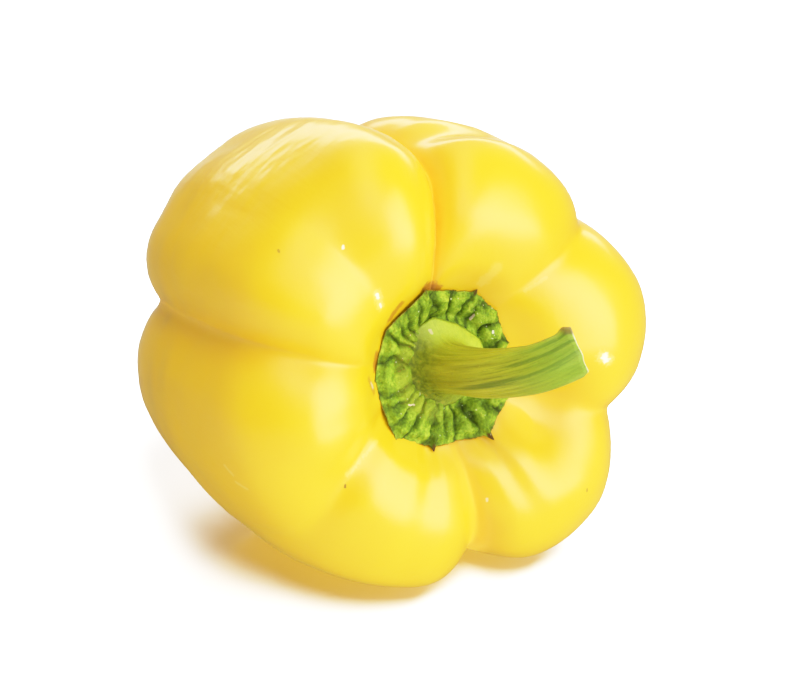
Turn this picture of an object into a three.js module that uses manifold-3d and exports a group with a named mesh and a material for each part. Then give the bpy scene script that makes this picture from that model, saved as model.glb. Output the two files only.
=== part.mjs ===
// A blocky bell pepper lying on its side: the lobed fruit, the wrinkled calyx in its stem hollow and the
// cut stem. Millimetres, +Z up. The fruit's own axis runs from the blossom end to the stem end, towards
// +X and a little up.
import * as THREE from "three";
import { mergeVertices } from "three/addons/utils/BufferGeometryUtils.js";
import Module from "manifold-3d";

const wasm = await Module();
wasm.setup();

// Driving dimensions of the fruit, as [distance from the axis, height above the blossom end] down a
// meridian: one line over the crest of a plain lobe, and one along the bottom of a groove of full depth.
const CREST_LINE = [
  [0, 5.6], [8.3, 2.3], [19.7, 0], [35.9, 11.3], [41.8, 30], [43.3, 49.8],
  [40.6, 64.5], [30.5, 72.2], [20.5, 71], [14, 66], [8, 63.2], [0, 62.6],
];
const GROOVE_LINE = [
  [0, 5.6], [6.5, 5], [12.5, 6], [27, 15], [32, 31], [33.3, 48],
  [30, 59], [23.5, 64.6], [17, 65.6], [12, 64], [7, 62.8], [0, 62.6],
];
const PLAIN_REACH = 43.3; // widest distance of the crest line from the axis
const FULL_DEPTH = 10; // how far the groove line lies inside the crest line there
const LOBE_ROUNDNESS = 0.62; // 1 gives parabolic lobes, 0.5 gives round ones

// Each row is a groove and the lobe that follows it, anticlockwise as seen from the stem. angle is the
// groove's on the fruit's side, from the right-hand side, and swerve is how far it turns on its way over
// the shoulder. side and shoulder are its depths there, soft rounds its bottom, reach is the lobe's
// widest distance from the axis, and lift raises the lobe's shoulder.
const LOBES = [
  { angle: 30, swerve: 9.5, side: 3.7, shoulder: 4.2, soft: 0.2, reach: 43.4, lift: -1.5 },
  { angle: 85, swerve: 12, side: 6.8, shoulder: 7, soft: 0.03, reach: 45, lift: 1.1 },
  { angle: 127, swerve: 4, side: 0, shoulder: 2, soft: 0.5, reach: 45, lift: 0.3 },
  { angle: 162, swerve: 2, side: 5, shoulder: 4, soft: 0.22, reach: 43.7, lift: 0.4 },
  { angle: 214, swerve: 4, side: 0.8, shoulder: 2.6, soft: 0.3, reach: 42.6, lift: -0.3 },
  { angle: 278, swerve: -5, side: 6.5, shoulder: 6.4, soft: 0.05, reach: 49.1, lift: 0.3 },
  { angle: 336, swerve: -7, side: 4.5, shoulder: 4.8, soft: 0.12, reach: 47.5, lift: -0.4 },
];

// Shares of a meridian's length, from the blossom end, over which each change of shape comes in
const DEPTH_SPAN = [0.55, 0.8]; // from a groove's depth on the side to that on the shoulder
const SWERVE_SPAN = [0.66, 0.92];
const LIFT_SPAN = [0.45, 0.75];
const HOLLOW_SPAN = [0.8, 1]; // from the lobes' own sizes to the stem hollow's, which is round
const CROWDING = 0.09; // how much closer the fruit's sides stand near the grooves than on the crests

const TILT = 10.5; // degrees that the axis rises towards the stem when the fruit lies at rest
const FLAT_DEPTH = 0.6; // how far the two lobes that carry the fruit are pressed flat

// Driving dimensions of the calyx
const CROWN_OFFSET = [0, 0.9]; // how far right and up of the fruit's axis the calyx and the stem grow
const SEPALS = [ // each sepal's angle, and how far its tip reaches from the middle of the calyx
  { angle: 5, reach: 13.4 }, { angle: 58.5, reach: 14.1 }, { angle: 105, reach: 15.5 },
  { angle: 142, reach: 15.1 }, { angle: 178.5, reach: 14.4 }, { angle: 223, reach: 16 },
  { angle: 255, reach: 15 }, { angle: 296, reach: 16.2 }, { angle: 324, reach: 14.8 },
];
const CALYX_THICKNESS = 1.6;
const CALYX_RIM_THICKNESS = 0.9;
const CALYX_SEAT = 65; // height of the flat middle that carries the stem
const WRINKLE_HEIGHT = 0.45;
const WRINKLES = 17;
const SEAT_GAP = 0.3; // clearance between pieces that lie on each other

// Driving dimensions of the stem: its centre line as [right, up, height], and its radii
const STEM_LINE = [
  [0, 0.9, 65.3], [0, 0.9, 69.5], [2.2, 1.3, 77], [7.8, 2.7, 84.6], [14.3, 5, 88.2],
];
const STEM_RADIUS = 4.3;
const STEM_FOOT_RADIUS = 8.4;
const STEM_END_RADIUS = 4.7;
const STEM_FOOT_LENGTH = 0.26; // share of the stem's length over which its foot flares
const STEM_RIBS = 6;
const STEM_RIB_HEIGHT = 0.22;

const RING_COUNT = { fruit: 44, stem: 30 };
const SIDE_COUNT = { lobe: 14, calyx: 126, stem: 30 };

const { degToRad, euclideanModulo, lerp, radToDeg, smoothstep } = THREE.MathUtils;

// A closed surface of rings between two poles. pointAt(share, angle) gives a point; share runs from 0 to
// 1, pole to pole, and the angle runs anticlockwise as seen from the far end of the surface.
function poleToPole(shares, sideCount, pointAt) {
  const positions = [];
  const triangles = [];
  for (const share of shares) {
    const isPole = share === 0 || share === 1;
    for (let side = 0; side < (isPole ? 1 : sideCount); side++) {
      positions.push(...pointAt(share, (2 * Math.PI * side) / sideCount).toArray());
    }
  }
  const last = positions.length / 3 - 1;
  const at = (ring, side) => 1 + (ring - 1) * sideCount + (side % sideCount);
  const innerRings = shares.length - 2;
  for (let side = 0; side < sideCount; side++) {
    triangles.push(0, at(1, side + 1), at(1, side));
    triangles.push(last, at(innerRings, side), at(innerRings, side + 1));
    for (let ring = 1; ring < innerRings; ring++) {
      triangles.push(at(ring, side), at(ring, side + 1), at(ring + 1, side + 1));
      triangles.push(at(ring, side), at(ring + 1, side + 1), at(ring + 1, side));
    }
  }
  const geometry = new THREE.BufferGeometry();
  geometry.setAttribute("position", new THREE.Float32BufferAttribute(positions, 3));
  return geometry.setIndex(triangles);
}

const evenShares = (count) => Array.from({ length: count + 1 }, (_, i) => i / count);
const splineThrough = (points) => new THREE.SplineCurve(points.map((p) => new THREE.Vector2(...p)));
const around = (radius, angle, height) =>
  new THREE.Vector3(radius * Math.cos(angle), radius * Math.sin(angle), height);

// Fruit

const crestLine = splineThrough(CREST_LINE);
const grooveLine = splineThrough(GROOVE_LINE);

// The rise of a lobe from its groove, 0 to 1, at a share of the way across it.
function lobeRise(across, soft) {
  const arch = 4 * across * (1 - across);
  const rounded = (x) => Math.pow(Math.hypot(x, soft), LOBE_ROUNDNESS);
  return (rounded(arch) - rounded(0)) / (rounded(1) - rounded(0));
}

// A lobe's value at its middle, half way to its neighbours' values at its grooves.
function acrossLobes(before, here, after, across) {
  return across < 0.5
    ? lerp((before + here) / 2, here, smoothstep(across, 0, 0.5))
    : lerp(here, (here + after) / 2, smoothstep(across, 0.5, 1));
}

const lobeAt = (index) => LOBES[euclideanModulo(index, LOBES.length)];

// The angle in degrees at which a lobe starts, and the degrees that it spans.
function lobeSector(index, share) {
  const swerved = smoothstep(share, ...SWERVE_SPAN);
  const [start, end] = [lobeAt(index), lobeAt(index + 1)].map((lobe) => lobe.angle + lobe.swerve * swerved);
  return { start, span: euclideanModulo(end - start, 360) };
}

// How deep the surface lies in a groove, 0 to 1.
function sunkInGroove(index, across, share) {
  const here = lobeAt(index);
  const after = lobeAt(index + 1);
  const ease = smoothstep(across, 0, 1);
  const onShoulder = smoothstep(share, ...DEPTH_SPAN);
  const depthOf = (lobe) => lerp(lobe.side, lobe.shoulder, onShoulder) / FULL_DEPTH;
  const depth = lerp(depthOf(here), depthOf(after), ease);
  return depth * (1 - lobeRise(across, lerp(here.soft, after.soft, ease)));
}

// The distance from the axis (x) and the height (y) of the skin across a lobe, or of its crest with no
// grooves.
function skinAt(index, across, share, { grooved = true } = {}) {
  const [before, here, after] = [index - 1, index, index + 1].map(lobeAt);
  const point = crestLine.getPointAt(share);
  if (grooved) point.lerp(grooveLine.getPointAt(share), sunkInGroove(index, across, share));
  const outsideHollow = 1 - smoothstep(share, ...HOLLOW_SPAN);
  const reach = acrossLobes(before.reach, here.reach, after.reach, across);
  const lift = acrossLobes(before.lift, here.lift, after.lift, across);
  point.x *= 1 + (reach / PLAIN_REACH - 1) * outsideHollow;
  point.y += lift * smoothstep(share, ...LIFT_SPAN) * outsideHollow;
  return point;
}

// Every lobe has the same number of sides, crowded towards its grooves, so that edges run along the
// grooves.
function fruitGeometry() {
  return poleToPole(evenShares(RING_COUNT.fruit), SIDE_COUNT.lobe * LOBES.length, (share, turn) => {
    const lobesPassed = (turn / (2 * Math.PI)) * LOBES.length;
    const index = Math.floor(lobesPassed + 1e-6);
    const even = lobesPassed - index;
    const across = even - CROWDING * Math.sin(2 * Math.PI * even);
    const { start, span } = lobeSector(index, share);
    const skin = skinAt(index, across, share);
    return around(skin.x, degToRad(start + across * span), skin.y);
  });
}

// The height of the lobes' crests inside the stem hollow, at a distance from the axis. The calyx lies on
// them and bridges the grooves.
function hollowFloor(radius, angle) {
  const pastStart = (index) => euclideanModulo(radToDeg(angle) - lobeSector(index, 1).start, 360);
  const index = LOBES.findIndex((_, i) => pastStart(i) < lobeSector(i, 1).span);
  const crestAt = (share) =>
    skinAt(index, pastStart(index) / lobeSector(index, 1).span, share, { grooved: false });
  let [outer, inner] = HOLLOW_SPAN;
  for (let step = 0; step < 24; step++) {
    const middle = (outer + inner) / 2;
    if (crestAt(middle).x > radius) outer = middle;
    else inner = middle;
  }
  return crestAt(inner).y;
}

// Calyx

// Straight edges run from one sepal's tip to the next.
function calyxRim(angle) {
  const degrees = radToDeg(angle);
  const next = (i) => SEPALS[(i + 1) % SEPALS.length];
  const spanOf = (i) => euclideanModulo(next(i).angle - SEPALS[i].angle, 360);
  const index = SEPALS.findIndex((sepal, i) => euclideanModulo(degrees - sepal.angle, 360) < spanOf(i));
  const span = degToRad(spanOf(index));
  const past = degToRad(euclideanModulo(degrees - SEPALS[index].angle, 360));
  const from = SEPALS[index].reach;
  const to = next(index).reach;
  return (from * to * Math.sin(span)) / (from * Math.sin(past) + to * Math.sin(span - past));
}

// Radial wrinkles that deepen towards the rim, unevenly spaced.
function wrinkle(radius, angle) {
  const fold = Math.sin(WRINKLES * angle + 1.1 * Math.sin(3 * angle) + 0.7 * Math.sin(5 * angle + 1));
  return WRINKLE_HEIGHT * fold * smoothstep(radius, STEM_FOOT_RADIUS, STEM_FOOT_RADIUS + 3);
}

// Shares below 0.5 run out along the underside, and shares above it run back over the wrinkled top.
const calyxShares = [0, 0.14, 0.28, 0.4, 0.48, 0.52, 0.58, 0.66, 0.74, 0.82, 0.92, 1];

function calyxGeometry() {
  return poleToPole(calyxShares, SIDE_COUNT.calyx, (share, angle) => {
    const isTop = share > 0.5;
    const out = isTop ? (1 - share) / (1 - 0.52) : share / 0.48;
    const radius = calyxRim(angle) * out;
    const place = around(radius, angle, 0).add(new THREE.Vector3(...CROWN_OFFSET, 0));
    const floor = hollowFloor(Math.hypot(place.x, place.y), Math.atan2(place.y, place.x)) + SEAT_GAP;
    const thickness = lerp(CALYX_THICKNESS, CALYX_RIM_THICKNESS, smoothstep(out, 0.5, 1));
    const collar = floor + thickness + wrinkle(radius, angle) * thickness;
    const offSeat = smoothstep(radius, STEM_FOOT_RADIUS + 0.3, STEM_FOOT_RADIUS + 2.3);
    return place.setZ(isTop ? lerp(CALYX_SEAT, collar, offSeat) : floor);
  });
}

// Stem

const stemLine = new THREE.CatmullRomCurve3(
  STEM_LINE.map((p) => new THREE.Vector3(...p)), false, "catmullrom",
);

function stemRadius(along) {
  const flare = Math.pow(1 - smoothstep(along, 0, STEM_FOOT_LENGTH), 2);
  const shaft = lerp(STEM_RADIUS, STEM_END_RADIUS, smoothstep(along, 0.6, 1));
  return lerp(shaft, STEM_FOOT_RADIUS, flare);
}

// The stem's rings stand square to its centre line; the pole at each end closes its foot and its cut face.
const footShare = 0.04;
const endShare = 0.98;

function stemGeometry() {
  const shares = [0, ...evenShares(RING_COUNT.stem).map((s) => lerp(footShare, endShare, s)), 1];
  return poleToPole(shares, SIDE_COUNT.stem, (share, angle) => {
    const along = THREE.MathUtils.clamp((share - footShare) / (endShare - footShare), 0, 1);
    const centre = stemLine.getPointAt(along);
    if (share === 0 || share === 1) return centre;
    const tangent = stemLine.getTangentAt(along);
    const turn = new THREE.Quaternion().setFromUnitVectors(new THREE.Vector3(0, 0, 1), tangent);
    const rib = STEM_RIB_HEIGHT * Math.cos(STEM_RIBS * angle) * smoothstep(along, 0.1, STEM_FOOT_LENGTH);
    return around(stemRadius(along) + rib, angle, 0).applyQuaternion(turn).add(centre);
  });
}

// Assembly

function toSolid(geometry) {
  const merged = mergeVertices(geometry, 1e-4);
  return new wasm.Manifold(new wasm.Mesh({
    numProp: 3,
    vertProperties: merged.attributes.position.array,
    triVerts: new Uint32Array(merged.index.array),
  }));
}

function toGeometry(solid) {
  const mesh = solid.getMesh();
  const geometry = new THREE.BufferGeometry();
  geometry.setAttribute("position", new THREE.BufferAttribute(mesh.vertProperties, 3));
  return geometry.setIndex(new THREE.BufferAttribute(mesh.triVerts, 1));
}

// Turns the fruit's frame (right, up, along the axis) into the frame that it lies in.
const tilt = degToRad(TILT);
const lying = new THREE.Matrix4().makeBasis(
  new THREE.Vector3(0, 1, 0),
  new THREE.Vector3(-Math.sin(tilt), 0, Math.cos(tilt)),
  new THREE.Vector3(Math.cos(tilt), 0, Math.sin(tilt)),
);

// Presses the lowest lobes flat where they carry the fruit.
function pressFlat(geometry) {
  geometry.applyMatrix4(lying);
  geometry.computeBoundingBox();
  const { min, max } = geometry.boundingBox;
  const size = max.clone().sub(min).multiplyScalar(2);
  const ground = new THREE.BoxGeometry(size.x, size.y, size.z);
  ground.deleteAttribute("normal");
  ground.deleteAttribute("uv");
  ground.translate((min.x + max.x) / 2, (min.y + max.y) / 2, min.z + FLAT_DEPTH - size.z / 2);
  return toGeometry(toSolid(geometry).subtract(toSolid(ground)));
}

function named(name, geometry, material) {
  const mesh = new THREE.Mesh(geometry, material);
  mesh.name = name;
  return mesh;
}

const skin = new THREE.MeshStandardMaterial({ color: 0xf2cf2e, roughness: 0.3, metalness: 0 });
const leafGreen = new THREE.MeshStandardMaterial({ color: 0x6f9a22, roughness: 0.6, metalness: 0 });
const stemGreen = new THREE.MeshStandardMaterial({ color: 0x9fb032, roughness: 0.55, metalness: 0 });

const pepper = new THREE.Group();
const crown = new THREE.Group();
crown.quaternion.setFromRotationMatrix(lying);
crown.add(named("calyx", calyxGeometry(), leafGreen), named("stem", stemGeometry(), stemGreen));
pepper.add(named("fruit", pressFlat(fruitGeometry()), skin), crown);

// The part's origin is the middle of its underside.
pepper.updateMatrixWorld(true);
const extent = new THREE.Box3().setFromObject(pepper, true);
const middle = extent.getCenter(new THREE.Vector3());
pepper.position.set(-middle.x, -middle.y, -extent.min.z);

const part = new THREE.Group();
part.add(pepper);
export default part;
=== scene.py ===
"""A yellow bell pepper on its side: the lobed fruit, the wrinkled calyx in its stem hollow and the cut stem.

The pieces are grown in the fruit's own frame, in millimetres: x to the right and y up, seen from the stem
end, and z along the axis from the blossom end. The last step of each piece lays it down, in metres, in the
part's frame.
"""
import math

import bpy
from mathutils import Matrix, Vector
from mathutils.bvhtree import BVHTree


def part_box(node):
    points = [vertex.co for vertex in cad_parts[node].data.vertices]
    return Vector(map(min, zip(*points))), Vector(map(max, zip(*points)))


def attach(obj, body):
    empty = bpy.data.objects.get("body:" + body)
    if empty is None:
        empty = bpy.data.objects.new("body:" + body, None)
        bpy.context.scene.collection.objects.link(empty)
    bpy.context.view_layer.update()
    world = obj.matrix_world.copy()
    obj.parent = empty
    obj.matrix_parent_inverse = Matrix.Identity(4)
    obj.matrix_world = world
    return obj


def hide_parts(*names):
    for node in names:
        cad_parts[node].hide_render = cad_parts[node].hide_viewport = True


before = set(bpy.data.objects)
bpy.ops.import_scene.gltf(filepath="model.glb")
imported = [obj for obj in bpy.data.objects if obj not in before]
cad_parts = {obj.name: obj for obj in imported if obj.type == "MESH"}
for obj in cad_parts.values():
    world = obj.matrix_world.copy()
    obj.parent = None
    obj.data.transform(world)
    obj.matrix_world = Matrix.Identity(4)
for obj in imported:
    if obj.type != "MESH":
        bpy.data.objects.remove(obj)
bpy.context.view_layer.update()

MM = 0.001

# How the fruit lies
TILT = math.radians(10.5)
AXIS_START = Vector((3.66, 43.61, 34.43))  # where the axis starts, from the low corner of the fruit's box
LYING = Matrix((
    (0, -math.sin(TILT), math.cos(TILT)),
    (1, 0, 0),
    (0, math.cos(TILT), math.sin(TILT)),
))

# The fruit: distance from the axis and height along a lobe's crest and along a groove of full depth, from the
# blossom end to the middle of the stem hollow
CREST_LINE = (
    (0, 5.6), (8.3, 2.3), (19.7, 0), (35.9, 11.3), (41.8, 30), (43.3, 49.8),
    (40.6, 64.5), (30.5, 72.2), (20.5, 71), (14, 66), (8, 63.2), (0, 62.6),
)
GROOVE_LINE = (
    (0, 5.6), (6.5, 5), (12.5, 6), (27, 15), (32, 31), (33.3, 48),
    (30, 59), (23.5, 64.6), (17, 65.6), (12, 64), (7, 62.8), (0, 62.6),
)
PLAIN_REACH = 43.3  # the crest line's
FULL_DEPTH = 10  # how far the groove line lies below the crest line

# Each groove and the lobe after it: the groove's angle on the side and its swerve on the way over the
# shoulder, its depth on the side and on the shoulder, its softness and the roundness of its walls, then the
# lobe's reach and the lift of its shoulder
LOBES = (
    dict(angle=30, swerve=9.5, side=3.7, shoulder=4.2, soft=0.2, round=0.62, reach=43.4, lift=-1.5),
    dict(angle=85, swerve=12, side=6.8, shoulder=7, soft=0.03, round=0.62, reach=45, lift=1.1),
    dict(angle=127, swerve=4, side=0, shoulder=2, soft=0.5, round=0.62, reach=45, lift=0.3),
    dict(angle=162, swerve=2, side=5, shoulder=4, soft=0.22, round=0.62, reach=43.7, lift=0.4),
    dict(angle=219, swerve=-17, side=0.8, shoulder=3.4, soft=0.25, round=0.62, reach=42.6, lift=-0.3),
    dict(angle=278, swerve=-5, side=6.5, shoulder=6.4, soft=0.12, round=0.75, reach=49.1, lift=0.3),
    dict(angle=336, swerve=-7, side=4.5, shoulder=4.8, soft=0.12, round=0.8, reach=47.5, lift=-0.4),
)

# Shares of a meridian's length, from the blossom end, over which each change of shape comes in
DEPTH_SPAN = (0.55, 0.8)
SWERVE_SPAN = (0.66, 0.92)
LIFT_SPAN = (0.45, 0.75)
HOLLOW_SPAN = (0.8, 1.0)
CROWDING = 0.09  # how closely the mesh's points crowd at the grooves

# The floor of the stem hollow: how its height on the crests changes with the square and the cube of the
# distance from the axis, and the distances over which the lobes' lift comes in
HOLLOW_SQUARE = -0.00126
HOLLOW_CUBE = 0.00133
HOLLOW_LIFT_SPAN = (3.0, 21.0)

# Shallow valleys on the shoulders: angle, half width in degrees, depth, and the shares of the length over
# which all of them start and end
SHOULDER_VALLEYS = (
    dict(angle=206, width=17, depth=1.1),
    dict(angle=249, width=11, depth=0.6),
    dict(angle=293.5, width=7.5, depth=0.5),
    dict(angle=188, width=12, depth=0.3),
)
VALLEY_START = (0.66, 0.78)
VALLEY_END = (0.86, 0.95)

# Bulges and dents of the sides: angle and share of the length, half widths in degrees and in shares, height
BULGES = (
    dict(angle=80, share=0.47, wide=15, long=0.11, height=1.3),
    dict(angle=70, share=0.6, wide=22, long=0.06, height=-1.6),
    dict(angle=329, share=0.84, wide=30, long=0.12, height=-4.6),
    dict(angle=121, share=0.36, wide=38, long=0.25, height=1.2),
    dict(angle=287, share=0.7, wide=12, long=0.12, height=0.9),
    dict(angle=304, share=0.71, wide=13, long=0.12, height=-0.9),
)

# Where fine crinkles run across a lobe
CRINKLES = dict(angle=115, share=0.52, wide=45, long=0.2, height=0.35)
CRINKLE_SCALE = 0.5
CRINKLE_RADIUS = 18  # of the ring of noise that they follow

# Soft swellings, and fine ripples along the sides, with the shares of the length over which they end
SWELLING_SCALE = 0.06
SWELLING_END = (0.8, 0.92)
RIPPLE_SCALE = 0.2
RIPPLE_RADIUS = 43  # of the ring of noise that they follow
RIPPLE_STRETCH = 0.16  # how slowly the noise changes along the axis
RIPPLE_END = (0.58, 0.7)

# The calyx: each sepal's angle, how far its tip reaches from the middle of the crown, and its dry spike
CROWN_OFFSET = (0, 0.9)
SEPALS = (
    dict(angle=5, reach=13.4, spike=0.2),
    dict(angle=33, reach=13.8, spike=0),
    dict(angle=58.5, reach=14.1, spike=0.5),
    dict(angle=105, reach=15.5, spike=0.4),
    dict(angle=142, reach=15.1, spike=0.1),
    dict(angle=178.5, reach=14.4, spike=0.2),
    dict(angle=223, reach=16, spike=0.3),
    dict(angle=255, reach=15, spike=0.6),
    dict(angle=296, reach=16.2, spike=0.9),
    dict(angle=324, reach=14.8, spike=0.2),
)
SPIKE_WIDTH = 2.6  # degrees
RAGGED_RADIUS = 15  # of the ring of noise that the torn rim follows
RAGGED_COARSE = 0.8
RAGGED_FINE = 0.4
UNDERSIDE_SHARE = 0.2  # the share of a meridian that runs along the underside
COLLAR_THICKNESS = 1.2
COLLAR_EDGE_LOSS = 0.6  # how much of its thickness the collar loses towards its rim
WRINKLES = 23
SEAT_THICKNESS = 0.5
CALYX_SEAT = 65  # the height of the seat below the stem
SEAT_GAP = 0.3  # between the floor of the hollow and the collar
JOINED_SIDE = math.radians(195)  # where the collar climbs onto the foot of the stem
JOINED_RIM_DROP = 0.5
JOINED_RISE = 0.5

# The stem: its centre line and radii, and the forms of its foot, its sides and its cut end
STEM_LINE = ((0, 0.9, 65.3), (0, 0.9, 69.5), (2.2, 1.3, 77), (7.8, 2.7, 84.6), (14.3, 5, 88.2))
STEM_RADIUS = 4.3
STEM_FOOT_RADIUS = 8.4
STEM_LENGTH = 26.5
FOOT_FILLET = 1.3  # how fast the foot's thin plate draws in to the shaft
FOOT_LEAN = math.radians(85)  # the foot reaches further out on this side
FOOT_LEAN_REACH = 0.7
FOOT_FLAT = math.radians(58)  # and less far on this one
FOOT_FLAT_DEPTH = 1.3
FOOT_GRAIN_RADIUS = 6  # of the ring of noise that the foot's grains follow
STEM_RIBS = 5
STEM_LINE_HEIGHT = 0.3
STEM_TWIST = math.radians(45)  # how far the stem's streaks turn around it
STREAK_RADIUS = 4  # of the ring of noise that the streaks follow
STREAK_STRETCH = 1.5  # how far the noise runs along the stem
CUT_SLANT = 0.1
CUT_ANGLE = math.radians(166)  # the side on which the cut end reaches further
CUT_UNEVENNESS = 0.8
CUT_HOLLOW = 0.6
LIP_DEPTH = 0.5  # how far the stem draws in at the rim of the cut end
EAR_ANGLE = math.radians(90)  # where the rim of the cut end stands out and is bruised
EAR_HEIGHT = 0.7

# Dark streaks along the stem: angle, half width in degrees, and the share of the length at which each starts
STEM_STREAKS = (
    dict(angle=165, width=5, start=0.6),
    dict(angle=186, width=8, start=0.35),
    dict(angle=218, width=8, start=0.12),
    dict(angle=30, width=9, start=0.3),
    dict(angle=320, width=9, start=0.4),
)
STREAK_FADE = 0.3  # the share of the length over which a streak comes in
STREAK_CORE = 0.3  # the share of a streak's width that is dark all over
STREAK_WANDER = 34  # degrees
PLATE_LIT_SIDE = 60  # the side on which painted light makes the foot's plate brightest, in degrees

# The photograph's frame, and the camera that took it
IMAGE_WIDTH = 794
IMAGE_HEIGHT = 678
FOCAL_PIXELS = 2340
SENSOR_WIDTH = 36
VIEW_AZIMUTH = 60.6
VIEW_ELEVATION = 24.7
VIEW_DISTANCE = 441
VIEW_TARGET = Vector((38.7, 4.9, 6.5))  # from the start of the axis

# Light that comes out white, and the tones of some lower lights
WHITE_LIGHT = 1.7
TONES = ((0.25, 0.25), (0.5, 0.5), (0.8, 0.735), (1.1, 0.87), (1.4, 0.95))

# Marks, by the pixels of the photograph between which they run, with their width in millimetres
WHITE = (255, 250, 225)
PALE = (252, 228, 140)
ROSY = (236, 206, 180)
BROWN = (120, 90, 20)
AMBER = (176, 104, 24)
MARKS = (
    dict(start=(377, 293), end=(380, 306), width=1.2, strength=0.3, tint=PALE),
    # Painted glint on the right-hand lobe: its pale halo
    dict(start=(602, 357), end=(609, 360), width=1.6, strength=0.4, tint=PALE),
    dict(start=(377, 295), end=(378, 298), width=0.5, strength=0.8, tint=WHITE),
    dict(start=(380, 304), end=(381, 307), width=0.3, strength=0.6, tint=WHITE),
    dict(start=(343, 246), end=(343, 248), width=0.35, strength=0.8, tint=WHITE),
    # Painted glint on the right-hand lobe: its white core and thin white rays
    dict(start=(605, 356), end=(606, 360), width=0.9, strength=0.8, tint=WHITE),
    dict(start=(601, 358), end=(610, 359), width=0.25, strength=0.5, tint=WHITE),
    dict(start=(482, 282), end=(497, 268), width=1.6, strength=0.16, tint=PALE),
    dict(start=(525, 291), end=(546, 278), width=0.5, strength=0.2, tint=PALE),
    dict(start=(225, 466), end=(233, 475), width=0.5, strength=0.25, tint=PALE),
    dict(start=(236, 482), end=(247, 489), width=0.5, strength=0.25, tint=PALE),
    dict(start=(376, 442), end=(347, 474), width=0.7, strength=0.25, tint=PALE),
    dict(start=(345, 485), end=(345, 487), width=0.3, strength=0.9, tint=BROWN),
    dict(start=(278, 250), end=(279, 252), width=0.3, strength=0.6, tint=BROWN),
    dict(start=(587, 489), end=(587, 491), width=0.3, strength=0.8, tint=BROWN),
    dict(start=(487, 499), end=(487, 501), width=0.35, strength=0.4, tint=WHITE),
    dict(start=(369, 380), end=(374, 392), width=0.9, strength=0.5, tint=AMBER),
    dict(start=(371, 383), end=(373, 388), width=0.4, strength=0.7, tint=ROSY),
    # Painted shadow: these three amber marks hug the calyx's rim, where shade falls in the gap between rim
    # and skin
    dict(start=(425, 287), end=(437, 288), width=1.5, strength=0.85, tint=AMBER),
    dict(start=(390, 319), end=(401, 304), width=1.1, strength=0.8, tint=AMBER),
    dict(start=(376, 354), end=(375, 369), width=1.0, strength=0.8, tint=AMBER),
    dict(start=(474, 315), end=(470, 319), width=0.35, strength=0.7, tint=ROSY),
    dict(start=(493, 331), end=(493, 333), width=0.25, strength=0.9, tint=WHITE),
    dict(start=(430, 330), end=(432, 333), width=0.4, strength=0.5, tint=ROSY),
    dict(start=(409, 405), end=(414, 405), width=0.28, strength=0.8, tint=ROSY),
)

# The studio: the dim light of the room, soft-edged panels by direction and half size in degrees, lamps around
# the fruit that light it alone, lamps that light the floor alone, and the warm light that comes through the
# fruit's wall onto the floor. No lamp is seen in a reflection.
SURROUNDINGS = 0.08
LIGHT_PANELS = (
    dict(azimuth=120, elevation=18, half_width=28, half_height=32, soft=0.5, strength=2.8),
    dict(azimuth=VIEW_AZIMUTH - 180, elevation=19, half_width=36, half_height=7, soft=0.2, strength=2.8),
    dict(azimuth=VIEW_AZIMUTH - 180, elevation=-14, half_width=17, half_height=10, soft=0.7, strength=0.8),
)
LAMP_DISTANCE = 1.2
FRUIT_LAMPS = (
    dict(azimuth=VIEW_AZIMUTH, elevation=90, size=(0.5, 2.4), power=18.6),
    dict(azimuth=VIEW_AZIMUTH, elevation=-90, size=(12, 12), power=760),
    dict(azimuth=85, elevation=40, size=(1, 1), power=6),
    dict(azimuth=118, elevation=0, size=(1, 1), power=6.5),
    dict(azimuth=-30, elevation=10, size=(2, 2), power=7.5),
    dict(azimuth=VIEW_AZIMUTH + 180, elevation=45, size=(1, 1), power=6),
)
FLOOR_LAMPS = (
    dict(azimuth=72, elevation=51, size=(0.33, 0.45), power=68),
    dict(azimuth=VIEW_AZIMUTH + 180, elevation=60, size=(0.8, 0.8), power=40),
    dict(azimuth=118, elevation=60, size=(0.6, 0.6), power=66),
)
GLOW_COLOUR = (1, 0.45, 0.03)
GLOW_POWER = 0.078
GLOW_RADIUS = 0.02
GLOW_HEIGHT = 18  # above the middle of the fruit's axis
FLOOR_HALF_SIZE = 3.0
FLOOR_GREY = 0.5

fruit_low_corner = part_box("fruit")[0]
axis_start = fruit_low_corner + AXIS_START * MM


def operator(operation, swapped=False):
    """A method that adds a Math node for a value and a second value or number."""
    def apply(value, other):
        pair = (other, value) if swapped else (value, other)
        return value.graph.math(operation, *pair)
    return apply


class Value:
    """A socket of a node tree. Arithmetic on it adds Math nodes."""

    __add__ = operator("ADD")
    __radd__ = operator("ADD", swapped=True)
    __sub__ = operator("SUBTRACT")
    __rsub__ = operator("SUBTRACT", swapped=True)
    __mul__ = operator("MULTIPLY")
    __rmul__ = operator("MULTIPLY", swapped=True)
    __truediv__ = operator("DIVIDE")
    __rtruediv__ = operator("DIVIDE", swapped=True)
    __pow__ = operator("POWER")
    __lt__ = operator("LESS_THAN")
    __gt__ = operator("GREATER_THAN")

    def __abs__(self):
        return self.graph.math("ABSOLUTE", self)

    def __init__(self, graph, socket):
        self.graph = graph
        self.socket = socket

    def also(self, output):
        """Another output of the same node."""
        return Value(self.graph, self.socket.node.outputs[output])


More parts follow.
